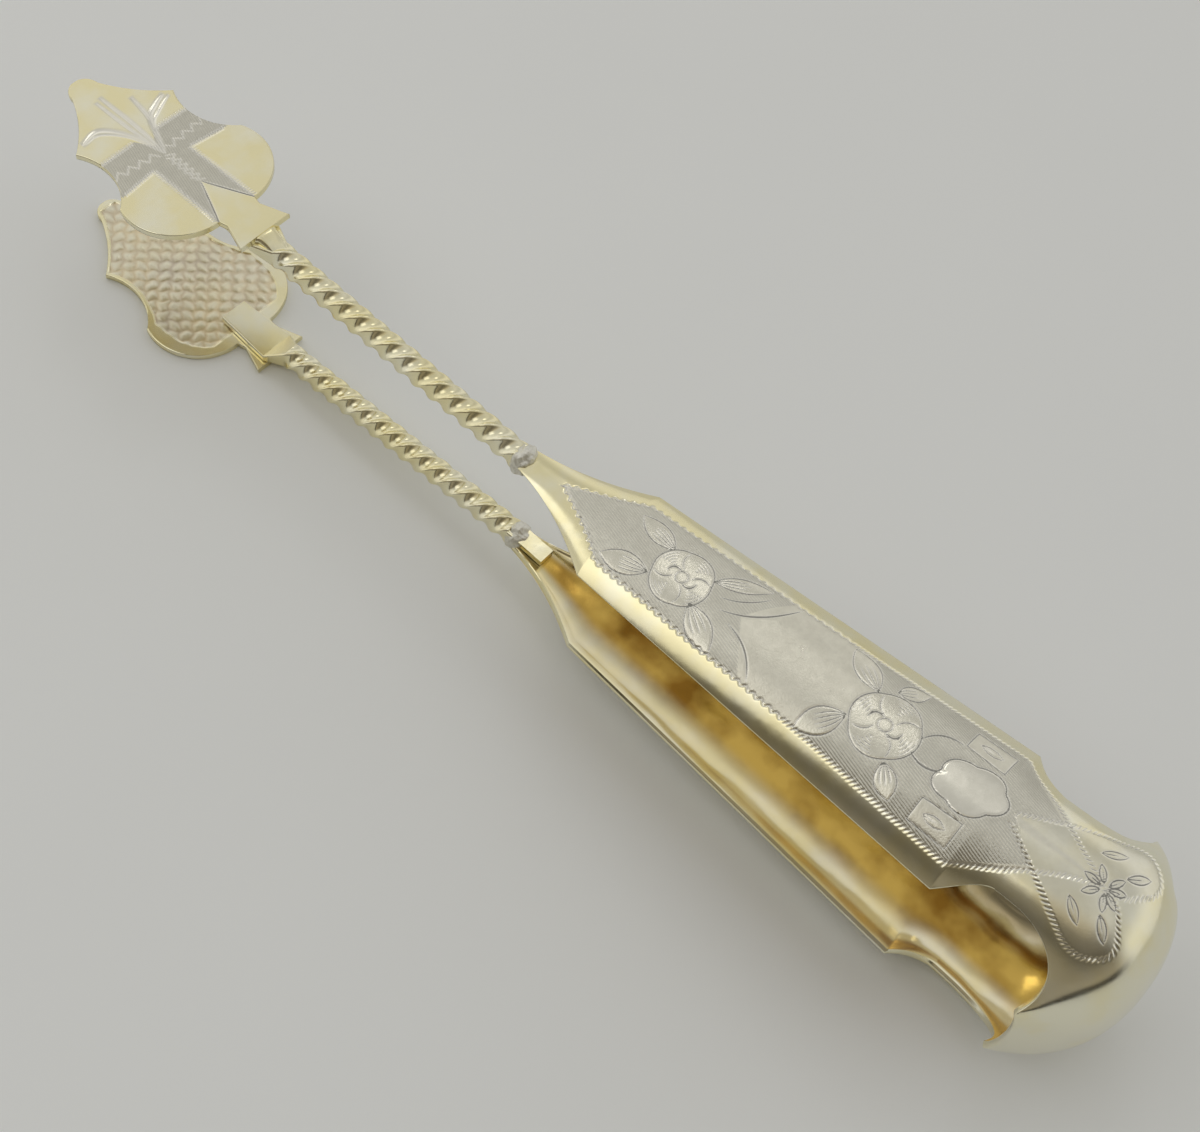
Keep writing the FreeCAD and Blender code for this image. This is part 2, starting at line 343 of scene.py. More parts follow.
def flower(area, centre, radius, turn):
    """Round flower of four petals shaded with fine arcs at their rims, and a small cut heart."""
    centre = np.array(centre)
    angles = np.radians(np.linspace(0, 360, 72))
    lobes = radius * (0.94 + 0.06 * np.abs(np.sin(2 * (angles - math.radians(turn)))))
    rim = centre + np.stack([lobes * np.cos(angles), lobes * np.sin(angles)], 1)
    plain_field(area, rim)
    area.stroke(rim, 0.36, 0.1, taper=0)
    for i in range(4):
        seam, middle = turn + 90 * i, turn + 90 * i + 45
        for k in range(5):
            reach = 7 + 4.2 * k
            shading = arc_points(centre, radius * (0.5 + 0.1 * k), middle - reach, middle + reach, 10)
            area.stroke(shading, 0.22, 0.07)
        towards = np.array([math.cos(math.radians(seam)), math.sin(math.radians(seam))])
        inner, outer = centre + 0.26 * radius * towards, centre + 0.9 * radius * towards
        area.stroke(bent(inner, outer, 0.14 * radius), 0.3, 0.08)
    area.stroke(arc_points(centre, 0.2 * radius, 0, 360, 16), 0.26, 0.09, taper=0)
    for side in (1, -1):
        start = centre + side * np.array([0.5, 0.1]) * radius
        end = centre + side * np.array([0.12, -0.16]) * radius
        area.stroke(bent(start, end, 0.16 * radius), 0.42, 0.12)


def cloud(area, centre, length, width, turn):
    """Plain cartouche with a lobed outline, for initials that were never cut."""
    outline = []
    for angle in np.linspace(0, 360, 72, endpoint=False):
        a = math.radians(angle)
        r = 0.93 + 0.16 * abs(math.cos(2.5 * a + 0.6))
        x, y = length / 2 * r * math.cos(a), width / 2 * r * math.sin(a)
        c, s = math.cos(turn), math.sin(turn)
        outline.append((centre[0] + c * x - s * y, centre[1] + s * x + c * y))
    area.fill("hatch", outline, 0.0)
    area.fill("satin", outline, 0.0)
    area.fill("cut", outline, 0.3, 0.5)
    area.stroke(outline + outline[:1], 0.4, 0.11, taper=0)


def box_frame(area, corners):
    """Small panel of cut lines with one plain leaf in it."""
    area.fill("hatch", corners, 0.0)
    for a, b in zip(corners, corners[1:] + corners[:1]):
        area.stroke([a, b], 0.34, 0.1, taper=0.2)
    c = np.mean(corners, 0)
    leaf(area, c + (-1.5, 0), c + (1.5, 0), 0.55, 1, 0.34, 0.07)


# Places are (distance along the strip from the handle's tip, distance round it from the crown).
panel_far = [
    (6.0, 0), (10.5, 2.1), (13.2, 3.5), (16.0, 5.4), (23, 5.7), (30, 6.2), (40, 6.6), (50, 7.2),
    (60, 8.1), (66, 8.6), (69.4, 8.9), (71.4, 7.6), (74.6, 5.6), (77.3, 3.7), (80.2, 1.9), (84, 0.0),
]
bow_loop = [
    (72.2, 0.6), (75.3, 2.4), (78.4, 4.3), (81.8, 6.2), (85.2, 7.6), (87.8, 7.2),
    (89.6, 5.6), (89.7, 4.0), (88.0, 2.0), (86.6, 0.7), (84.2, 0.0),
]
lozenge = [
    (72.2, 0.4), (75.3, 2.2), (78.6, 3.0), (81.0, 1.4), (84, 0), (81.0, -1.4), (78.6, -3.0), (75.3, -2.2),
]
hatch_front = [(7, 0.0), (16.0, 5.2), (33, 6.2), (37.5, 6.3), (34, 0), (38.5, -6.3), (16.0, -5.2)]
hatch_rear = [(49, 6.9), (69.2, 8.5), (77, 3.2), (72, 0.5), (77, -3.2), (69.2, -8.5), (49, -6.9), (53, 0)]
# Each group: flower centre, radius and turn; leaves (root, tip, bulge, veins);
# stems (start, end, bulge, width, depth, taper).
flower_groups = [
    ((25.4, -0.5), 4.0, 20, [
        ((21.9, -2.6), (15.6, -4.2), 1.5, 4), ((22.4, 1.9), (16.2, 3.4), 1.4, 4),
        ((28.6, 1.6), (34.6, 5.7), 1.1, 3), ((28.3, -2.6), (34.0, -6.2), 1.6, 3),
    ], [
        ((31.5, -1.0), (38.6, 6.1), -1.3, 0.5, 0.08, 0.9), ((30.5, 0.4), (35.2, 4.6), -0.7, 0.4, 0.06, 0.9),
        ((33.5, -1.8), (39.6, -6.0), 0.9, 0.5, 0.08, 0.9),
    ]),
    ((55.1, -0.2), 4.4, 35, [
        ((51.0, -2.0), (47.2, -7.0), 1.7, 4), ((52.0, 2.8), (46.4, 6.4), 1.6, 3),
        ((53.6, 4.4), (56.5, 7.4), 1.2, 3), ((57.6, -3.9), (60.6, -7.2), 1.3, 3),
    ], [
        ((59.2, 1.2), (63.2, 3.9), 0.8, 0.5, 0.07, 0.8), ((59.2, -1.0), (63.6, -0.4), -0.8, 0.6, 0.08, 0.8),
    ]),
]


def other_side(points):
    return [(s, -w) for s, w in points]


def engrave_strip(area):
    """The whole design of one half of the strip."""
    field = panel_far + other_side(panel_far)[::-1]
    area.fill("silver", field)
    area.fill("satin", field, 0.85)
    area.fill("hatch", hatch_front, 0.85)
    area.fill("hatch", hatch_rear, 1.0)
    area.fill("hatch", lozenge, 0.0)
    area.fill("satin", lozenge, 0.0)
    for points in (bow_loop, other_side(bow_loop)):
        area.fill("silver", through(points), 0.55, soft=0.5)
        area.fill("satin", through(points), 0.1, soft=0.5)
    for centre, radius, turn, leaves, stems in flower_groups:
        flower(area, centre, radius, turn)
        for root, tip, bulge, veins in leaves:
            leaf(area, root, tip, bulge, veins)
        for start, end, bulge, width, depth, taper in stems:
            area.stroke(bent(start, end, bulge), width, depth, taper=taper)
    for w in (5.6, -5.9):
        box_frame(area, [(63.4, w - 1.5), (63.4, w + 1.5), (68.6, w + 1.7), (68.6, w - 1.7)])
    cloud(area, (66.9, -0.2), 8.4, 6.2, 0.25)
    for points in (panel_far, other_side(panel_far)):
        beaded(area, points)
    for points in (bow_loop, other_side(bow_loop)):
        beaded(area, through(points), pitch=0.62, width=0.66)
    knot_x, petal_start, petal_end = 84.3, 0.5, 2.7
    for angle in (-60, -25, 25, 60, 130, 180, 230):
        a = math.radians(angle)
        root, end = ((knot_x + r * math.cos(a), r * math.sin(a)) for r in (petal_start, petal_end))
        leaf(area, root, end, 0.4, 1, 0.4, 0.08)
    for side in (1, -1):
        leaf(area, (85.6, 2.6 * side), (88.2, 4.6 * side), 0.5, 1, 0.4, 0.07)
        leaf(area, (81.8, 3.2 * side), (84.6, 5.2 * side), 0.5, 1, 0.36, 0.06)


# ---- Meshes ----
def on_part(points):
    """From the design's mid-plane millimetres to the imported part's metres."""
    c, s = math.cos(rest_slope), math.sin(rest_slope)
    x, y, z = points[..., 0], points[..., 1], points[..., 2]
    return np.stack([x * c - z * s, y, x * s + z * c], -1) / 1000 + shift


def seat():
    """Shift that puts the bow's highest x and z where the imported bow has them."""
    at = np.linspace(waist_at, 2, 2001)
    c, s = math.cos(rest_slope), math.sin(rest_slope)
    points = crown(at)[0]
    both = np.vstack([points, points * [1, -1]])
    x, z = both[:, 0] * c - both[:, 1] * s, both[:, 0] * s + both[:, 1] * c
    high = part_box("bow")[1]
    return np.array([high.x - x.max() / 1000, 0, high.z - z.max() / 1000])


shift = seat()


def ring_faces(rows, width):
    """Quads round a closed tube with width points in each row."""
    i, j = np.meshgrid(np.arange(rows - 1), np.arange(width), indexing="ij")
    a, b = i * width + j, i * width + (j + 1) % width
    return np.stack([a, b, b + width, a + width], -1).reshape(-1, 4)


def on_ring(shape, columns, value):
    """A finish over the ring grid, 0 outside the given columns."""
    full = np.zeros(shape)
    full[:, columns] = value
    return full


def add_piece(name, data):
    """New object in the scene."""
    piece = bpy.data.objects.new(name, data)
    bpy.context.scene.collection.objects.link(piece)
    return piece


def make_mesh(name, points, quads, values):
    """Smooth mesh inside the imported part's box, with float attributes for the materials."""
    mesh = bpy.data.meshes.new(name)
    mesh.vertices.add(len(points))
    points = np.clip(points, *np.array([list(corner) for corner in cad_box]))
    mesh.vertices.foreach_set("co", np.asarray(points, np.float32).ravel())
    mesh.loops.add(quads.size)
    mesh.loops.foreach_set("vertex_index", quads.astype(np.int32).ravel())
    mesh.polygons.add(len(quads))
    mesh.polygons.foreach_set("loop_start", np.arange(0, quads.size, 4, dtype=np.int32))
    mesh.polygons.foreach_set("loop_total", np.full(len(quads), 4, np.int32))
    mesh.update(calc_edges=True)
    mesh.validate()
    for key, value in values.items():
        layer = mesh.attributes.new(key, "FLOAT", "POINT")
        layer.data.foreach_set("value", np.asarray(value, np.float32).ravel())
    mesh.polygons.foreach_set("use_smooth", np.ones(len(mesh.polygons), bool))
    mesh.set_sharp_from_angle(angle=math.radians(50))
    return add_piece(name, mesh)


def ripple(points, size, seed):
    """Gentle hand-hammered unevenness at each point."""
    flat = points.reshape(-1, 3)
    out = np.array([noise.noise(Vector(p) / size + Vector((seed, 0, 0))) for p in flat])
    return out.reshape(points.shape[:-1])


def shape_far_edge(points, at):
    """Lets the strip's far edge out before the turn of the bow and takes it in after, as in the photograph."""
    swell = 0.5 * between(at, 1.0, 1.95, 0.3, 0.3) + 0.7 * between(at, 1.1, 1.56, 0.18, 0.18)
    points[..., 1] += swell[:, None] * smooth(points[..., 1] / 9)
    tuck_from = 7.5
    tuck = 0.16 * smooth((at - 1.6) / 0.35)[:, None] * smooth((points[..., 1] - tuck_from) / 5)
    points[..., 1] -= tuck * (points[..., 1] - tuck_from)
    far_tuck = 0.7 * between(at, 1.42, 1.95, 0.12, 0.2)
    points[..., 1] -= far_tuck[:, None] * smooth((points[..., 1] - 7) / 4)


def shell(name, at, across, inner_across, lower, wrinkle):
    """Closed shell over one stretch of the strip: engraved outside, plain inside, softened edges."""
    rim = 0.12
    run = run_along(at)[:, None]
    area = Sheet(np.repeat(run, len(across), 1), run_across(at, across))
    engrave_strip(area)
    outer = strip_surface(at, across, area.depth)
    for edge, near in ((0, 1), (-1, -2)):
        outer[:, edge] = strip_surface(at, across[[edge]])[:, 0]
        gap = np.linalg.norm(outer[:, edge] - outer[:, near], axis=1)[:, None]
        outer[:, edge] = mix(outer[:, edge], outer[:, near], rim / gap)
    edge_depths = [sheet * k for k in (0.14, 0.5, 0.86)]
    near_edge, far_edge = (
        np.stack([strip_surface(at, np.array([side]), depth)[:, 0] for depth in edge_depths], 1) for side in (-1, 1)
    )
    coarse = strip_surface(at[::2], inner_across[::2], sheet)
    hollow = wrinkle * (ripple(coarse, 3.0, 7.0) + 1.2 * ripple(coarse, 6.5, 2.0))
    hollow = spread(hollow, np.arange(len(at)) / 2, np.arange(len(inner_across)) / 2)
    fade = smooth((1 - np.abs(inner_across)) / 0.2)[None, :]
    inner = strip_surface(at, inner_across, sheet - (wrinkle + 0.5 * hollow) * fade)
    points = np.concatenate([outer, far_edge, inner[:, ::-1], near_edge[:, ::-1]], 1)
    shape_far_edge(points, at)
    if lower:
        points = points * [1, 1, -1]
    rows, width = shape = points.shape[:2]
    outside = slice(len(across))
    inside = slice(len(across) + len(edge_depths), width - len(edge_depths))
    # Painted shade and reflection: the inner face is painted deep amber, most along the middle of the channel and
    # least at its edges.
    amber_shade = 0.22 + 0.78 * smooth((0.62 - np.abs(inner_across[::-1])) / 0.4)
    values = {key: on_ring(shape, outside, value) for key, value in area.finish.items()}
    values["inner"] = on_ring(shape, inside, amber_shade)
    values["run"] = np.repeat(run, width, 1)
    values["side"] = on_ring(shape, outside, area.w)
    caps = [shell_cap(row * width, len(across), width, turn) for row, turn in ((0, False), (rows - 1, True))]
    quads = np.vstack([ring_faces(rows, width)] + caps)
    if lower:
        quads = quads[:, ::-1]
    return make_mesh(name, on_part(points).reshape(-1, 3), quads, values)


def spread(values, rows, cols):
    """Bilinear values between the points of a coarser grid."""
    r = np.clip(rows, 0, values.shape[0] - 1.001)
    c = np.clip(cols, 0, values.shape[1] - 1.001)
    i, j = r.astype(int), c.astype(int)
    a, b = (r - i)[:, None], (c - j)[None, :]
    low = values[i][:, j] * (1 - b) + values[i][:, j + 1] * b
    high = values[i + 1][:, j] * (1 - b) + values[i + 1][:, j + 1] * b
    return low * (1 - a) + high * a


def shell_cap(start, outer_count, width, turn):
    """Closes one end of a shell by joining its outer line to its inner line."""
    inner = range(width - 1, outer_count - 1, -1)
    last = outer_count - 1
    facing = [start + inner[round(k * (len(inner) - 1) / last)] for k in range(outer_count)]
    quads = np.array([[start + k, start + k + 1, facing[k + 1], facing[k]] for k in range(last)])
    return quads[:, ::-1] if turn else quads


def spaced(fine_edge, fine, coarse):
    """Places across the strip from -1 to 1, close together over the engraved middle."""
    middle = np.linspace(-fine_edge, fine_edge, fine)
    side = np.linspace(fine_edge, 1, coarse + 1)[1:]
    return np.concatenate([-side[::-1], middle, side])


# ---- Blade ----
def half_at(x):
    """Half width of the blade at each x."""
    x = np.asarray(x, float)
    angle = math.acos((lobe_join_x - lobe_x) / lobe_radius)
    join_y = lobe_y + lobe_radius * math.sin(angle)
    nose = np.sqrt(np.clip(nose_radius ** 2 - (x - nose_radius) ** 2, 0, None))
    flank = circle_through((nose_radius, nose_radius), (6.2, 4.5), (cheek_x, cheek_half), x)
    side = circle_through((cheek_x, cheek_half), (side_x, side_half), (lobe_join_x, join_y), x)
    lobe = lobe_y + np.sqrt(np.clip(lobe_radius ** 2 - (x - lobe_x) ** 2, 0, None))
    lobe_end = lobe_x + lobe_radius
    neck = mix(lobe_y, neck_half, (x - lobe_end) / (neck_x - lobe_end))
    wing = mix(neck_half, wing_half, (x - neck_x) / (wing_x - neck_x))
    spans = [x <= nose_radius, x <= cheek_x, x <= lobe_join_x, x <= lobe_end, x <= neck_x]
    return np.select(spans, [nose, flank, side, lobe, neck], wing)


def circle_through(a, b, c, x):
    """Height at x of the circle through three points, on the side where the points lie."""
    (ax, ay), (bx, by), (cx, cy) = a, b, c
    d = 2 * (ax * (by - cy) + bx * (cy - ay) + cx * (ay - by))
    a2, b2, c2 = ax * ax + ay * ay, bx * bx + by * by, cx * cx + cy * cy
    ux = (a2 * (by - cy) + b2 * (cy - ay) + c2 * (ay - by)) / d
    uy = (a2 * (cx - bx) + b2 * (ax - cx) + c2 * (bx - ax)) / d
    r = math.hypot(ax - ux, ay - uy)
    root = np.sqrt(np.clip(r * r - (x - ux) ** 2, 0, None))
    return uy + root if by > uy else uy - root


def touching_height():
    """Height of the plane that the belly of the bow and the blade's outer face share."""
    points = crown(np.linspace(1, 2, 201)[:200])[0]
    return (points[:, 1] - math.tan(rest_slope) * points[:, 0]).max()


band = [
    (14.1, -9), (20.4, -9), (19.7, -3.1), (19.7, 3.1), (20.4, 9), (14.1, 9), (14.0, 1.6), (16.5, 0), (14.0, -1.6),
]
legs = [(19.7, -3.1), (32.3, -3.2), (25.2, 0), (32.3, 3.2), (19.7, 3.1)]
heart = (18.4, 0)
sprays = [  # line and width
    ([heart, (11.5, 0.5), (4.6, 0.5)], 0.8),
    ([heart, (11.5, -0.4), (5.0, -0.5)], 0.7),
    ([heart, (12.5, 2.6), (7.4, 3.5)], 0.8),
    ([heart, (12.4, 2.7), (10.8, 4.9), (10.0, 7.0)], 1.1),
    ([heart, (13.4, 2.4), (12.0, 4.4), (10.6, 7.4)], 0.7),
    ([heart, (13.4, -0.8), (9.3, -3.4), (9.7, -6.8)], 1.1),
    ([heart, (13.0, -1.4), (9.9, -3.9), (9.9, -6.4)], 0.7),
]


def engrave_blade(area):
    """Sprays towards the nose, a hatched cross band and two hatched legs with a wriggle line between."""
    for shape in (band, legs):
        area.fill("silver", shape, 0.9)
        area.fill("hatch", shape, 1.0)
        area.fill("satin", shape, 0.7)
    for side in (1, -1):
        toothed(area, (14.0, 1.8 * side), (14.1, 7.4 * side))
        toothed(area, (19.7, 3.1 * side), (20.3, 8.6 * side))
        toothed(area, (19.7, 3.1 * side), (32.0, 3.3 * side))
        zigzag(area, (17.0, 8.0 * side), (17.8, 0.4 * side), 1.7, 1.1)
        area.stroke([(25.2, 0), (32.2, 3.1 * side)], 0.5, 0.1, taper=0.6)
    zigzag(area, (18.4, 0.25), (25.4, 0.25), 1.2, 1.0)
    zigzag(area, (18.9, -0.2), (24.8, -0.2), 1.2, 0.7)
    for points, width in sprays:
        line = through(points)
        side = np.array([0, width / 2]) if len(points) == 3 else np.array([width / 2, 0])
        area.fill("silver", np.vstack([line + side, (line - side)[::-1]]), 0.9, 0.4)
        area.stroke(line, width, 0.14, taper=0.9, bright=0.6)


def toothed(area, a, b):
    """Band edge made of short slanting nicks."""
    for p, d in even([a, b], 0.42):
        side = np.array([-d[1], d[0]])
        reach = side * 0.32 + d * 0.15
        area.stroke([p - reach, p + reach], 0.42, 0.09, taper=0.3, bright=0.7)


def zigzag(area, a, b, pitch, width):
    """Wriggle line cut in straight strokes."""
    points = []
    for i, (p, d) in enumerate(even([a, b], pitch / 2)):
        side = np.array([-d[1], d[0]])
        points.append(p + side * (width / 2 if i % 2 else -width / 2))
    area.stroke(points, 0.42, 0.11, taper=0.15, bright=0.65)


def blade_stations():
    """Places along the blade, closer together where its outline turns end-on."""
    ends = np.array([0, nose_radius, cheek_x, lobe_join_x, lobe_x + lobe_radius, neck_x, wing_x])
    stations = [np.array([0.0])]
    for a, b, kind in zip(ends[:-1], ends[1:], ("in", "even", "even", "out", "even", "even")):
        t = np.linspace(0, 1, max(3, round((b - a) / 0.12)) + 1)[1:]
        t = {"in": t ** 2, "out": 1 - (1 - t) ** 2, "even": t}[kind]
        stations.append(a + (b - a) * t)
    return np.concatenate(stations)


def blade(name, lower):
    """Blade plate: engraved outer face, pimpled gripping face and softened edges."""
    rim, count = 0.1, 119
    x = blade_stations()
    half = np.maximum(half_at(x), 0.02)
    y = np.linspace(-1, 1, count)[None, :] * np.maximum(half - rim, half * 0.5)[:, None]
    s = np.repeat(np.clip(x, rim, wing_x - rim)[:, None], count, 1)
    area = Sheet(s, y)
    engrave_blade(area)
    grip, region = grip_depth(s, y)[:, ::-1], grip_region(s, y)[:, ::-1]
    outer = np.stack([s, y, blade_thick - area.depth], -1)
    inner = np.stack([s[:, ::-1], y[:, ::-1], grip], -1)
    edge_x, edge_y = np.repeat(x[:, None], 2, 1), np.repeat(half[:, None], 2, 1)
    edge_z = np.repeat([[blade_thick - rim, rim]], len(x), 0)
    right = np.stack([edge_x, edge_y, edge_z], -1)
    left = np.stack([edge_x, -edge_y, edge_z[:, ::-1]], -1)
    points = np.concatenate([outer, right, inner, left], 1)
    rows, width = shape = points.shape[:2]
    engraved, gripping = slice(count), slice(count + 2, 2 * count + 2)
    values = {key: on_ring(shape, engraved, value) for key, value in area.finish.items()}
    values["silver"][:, gripping] = 0.62 * region
    values["satin"][:, gripping] = 0.8 * region
    # Painted shade: the grooves of the gripping face are painted deep amber and brown, more the deeper they are
    # cut.
    values["inner"] = on_ring(shape, gripping, smooth(grip / groove_depth))
    values["run"] = np.repeat(x[:, None], width, 1)
    values["side"] = points[..., 1]
    caps = [blade_cap(row * width, count, width, turn) for row, turn in ((0, False), (rows - 1, True))]
    quads = np.vstack([ring_faces(rows, width)] + caps)
    if lower:
        quads = quads[:, ::-1]
    return make_mesh(name, on_blade(points, lower).reshape(-1, 3), quads, values)


def on_blade(points, lower):
    """From a blade's own millimetres, with z up from its gripping face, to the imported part's metres."""
    c, s = math.cos(rest_slope), math.sin(rest_slope)
    x, z = points[..., 0], points[..., 2]
    base = touch_z - blade_thick / c
    turned = np.stack([x * c - z * s, points[..., 1], x * s + z * c + base], -1)
    return on_part(turned * [1, 1, -1 if lower else 1])


def blade_cap(start, count, width, turn):
    """Closes an end of the blade between its outer and inner lines."""
    a = np.arange(count - 1)
    far = width - 3 - np.arange(count)
    quads = np.stack([a, a + 1, far[a + 1], far[a]], 1) + start
    edge = np.array([[count - 1, count, count + 1, count + 2], [width - 3, width - 2, width - 1, 0]]) + start
    quads = np.vstack([quads, edge])
    return quads[:, ::-1] if turn else quads


groove_depth, groove_pitch, groove_x = 0.17, 1.75, 13.8


def grip_region(x, y):
    """1 over the middle of the gripping face, fading to 0 at its margin."""
    margin = 0.45 + 1.5 * smooth((x - 18) / 6)
    return smooth((half_at(x) - margin - np.abs(y)) / 0.4) * between(x, 1.0, 30.5, 0.4, 0.8)


def grip_depth(x, y):
    """Depth of the diagonal grooves that leave rows of grip points, cut a little unevenly."""
    left = (x - groove_x - y) / math.sqrt(2) / groove_pitch + 0.1 * np.sin(1.9 * x + 2.3 * y)
    right = (x - groove_x + y) / math.sqrt(2) / groove_pitch + 0.1 * np.sin(2.7 * y - 1.3 * x)
    uneven = 0.85 + 0.15 * np.sin(3.3 * x) * np.sin(2.9 * y)
    points = np.abs(np.cos(math.pi * left) * np.cos(math.pi * right)) * uneven
    return groove_depth * (1 - points ** 0.7) * grip_region(x, y)


touch_z = touching_height()


# ---- Solder ----
def solder_blob(name, node, seed):
    """Lumpy run of solder in the place of a packed collar."""
    low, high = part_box(node)
    centre, size = (low + high) / 2, (high - low) / 2
    bm = bmesh.new()
    bmesh.ops.create_icosphere(bm, subdivisions=5, radius=1)
    for v in bm.verts:
        p = v.co.copy()
        lump = noise.noise(p * 1.6 + Vector((seed, 0, 0))) * 0.16
        lump += noise.noise(p * 4.2 + Vector((0, seed, 0))) * 0.07
        k = 0.88 + min(lump, 0.1)
        v.co = Vector((p.x * size.x, p.y * size.y, p.z * size.z)) * k + centre
    return finish_blob(bm, name)


def finish_blob(bm, name):
    mesh = bpy.data.meshes.new(name)
    bm.to_mesh(mesh)
    bm.free()
    mesh.polygons.foreach_set("use_smooth", np.ones(len(mesh.polygons), bool))
    return add_piece(name, mesh)


def joint_flow(name, lower):
    """Gilt solder that carries the blade's outer face on to the shaft, level at the blade's end."""
    bm = bmesh.new()
    bmesh.ops.create_icosphere(bm, subdivisions=5, radius=1)
    ball = np.array([v.co for v in bm.verts])
    block = np.sign(ball) * np.abs(ball) ** 0.55
    block /= np.abs(block).max(0)
    x = wing_x + 0.9 + 2.3 * block[:, 0]
    top = blade_thick - 0.03 - 1.1 * smooth((x - wing_x) / 3.0)
    half = 1.55 - 0.3 * smooth((x - wing_x) / 2.5) + 0.35 * smooth((wing_x + 0.4 - x) / 0.7)
    lumps = 0.06 * ripple(ball * 2.2, 1.0, 4.0 + lower)
    height = mix(-1.2, top, (block[:, 2] + 1) / 2) - np.abs(lumps)
    flow = np.stack([x, block[:, 1] * half + lumps, height], -1)
    for v, place in zip(bm.verts, on_blade(flow, lower)):
        v.co = place
    if lower:
        bmesh.ops.reverse_faces(bm, faces=bm.faces)
    return finish_blob(bm, name)


# ---- Materials ----
class Graph:
    """Node material with short calls for the nodes used here."""

    def __init__(self, name, metallic=0.0):
        self.material = bpy.data.materials.new(name)
        self.material.use_nodes = True
        self.nodes, self.links = self.material.node_tree.nodes, self.material.node_tree.links
        self.nodes.clear()
        self.shader = self.nodes.new("ShaderNodeBsdfPrincipled")
        self.links.new(self.shader.outputs[0], self.nodes.new("ShaderNodeOutputMaterial").inputs[0])
        self.shader.inputs["Metallic"].default_value = metallic

    def feed(self, value, socket):
        if isinstance(value, bpy.types.NodeSocket):
            self.links.new(value, socket)
        else:
            socket.default_value = value

    def attribute(self, name):
        made = self.nodes.new("ShaderNodeAttribute")
        made.attribute_name = name
        return made.outputs["Fac"]

    def maths(self, operation, *values):
        made = self.nodes.new("ShaderNodeMath")
        made.operation = operation
        for value, socket in zip(values, made.inputs):
            self.feed(value, socket)
        return made.outputs[0]

    def times(self, a, b):
        return self.maths("MULTIPLY", a, b)

    def plus(self, a, b):
        return self.maths("ADD", a, b)

    def minus(self, a, b):
        return self.maths("SUBTRACT", a, b)

    def blend(self, factor, a, b):
        made = self.nodes.new("ShaderNodeMix")
        made.data_type = "RGBA"
        for value, socket in ((factor, made.inputs[0]), (a, made.inputs[6]), (b, made.inputs[7])):
            self.feed(value, socket)
        return made.outputs[2]

    def noise(self, scale, detail, rough=0.5):
        place = self.nodes.new("ShaderNodeTexCoord")
        made = self.nodes.new("ShaderNodeTexNoise")
        for key, value in (("Scale", scale), ("Detail", detail), ("Roughness", rough)):
            made.inputs[key].default_value = value
        self.links.new(place.outputs["Object"], made.inputs["Vector"])
        return made.outputs["Fac"]

    def bump(self, height, strength, distance):
        made = self.nodes.new("ShaderNodeBump")
        made.inputs["Strength"].default_value = strength
        made.inputs["Distance"].default_value = distance
        self.links.new(height, made.inputs["Height"])
        self.links.new(made.outputs[0], self.shader.inputs["Normal"])

    def finish(self, colour, rough):
        self.feed(colour, self.shader.inputs["Base Color"])
        self.feed(rough, self.shader.inputs["Roughness"])
        return self.material


GILT = (0.87, 0.79, 0.48, 1)
GILT_PALE = (0.87, 0.84, 0.67, 1)
# GILT_DEEP and GILT_BROWN are painted shade and reflection for the inner faces and the grip grooves.
GILT_DEEP = (0.68, 0.45, 0.10, 1)
GILT_BROWN = (0.28, 0.14, 0.02, 1)
SILVER = (0.86, 0.825, 0.69, 1)
SILVER_DULL = (0.62, 0.59, 0.48, 1)
SILVER_CUT = (0.95, 0.92, 0.83, 1)
HATCH_GREY = (0.38, 0.37, 0.33, 1)
HATCH_LINE = (0.45, 0.44, 0.40, 1)
SHADE = (0.16, 0.155, 0.13, 1)
SOLDER = (0.60, 0.575, 0.48, 1)
SOLDER_BRIGHT = (0.95, 0.93, 0.84, 1)
PAPER = (0.89, 0.90, 0.875, 1)
PAPER_PALE = (0.92, 0.93, 0.905, 1)
hatch_pitch, hatch_lean = 0.34, 0.30


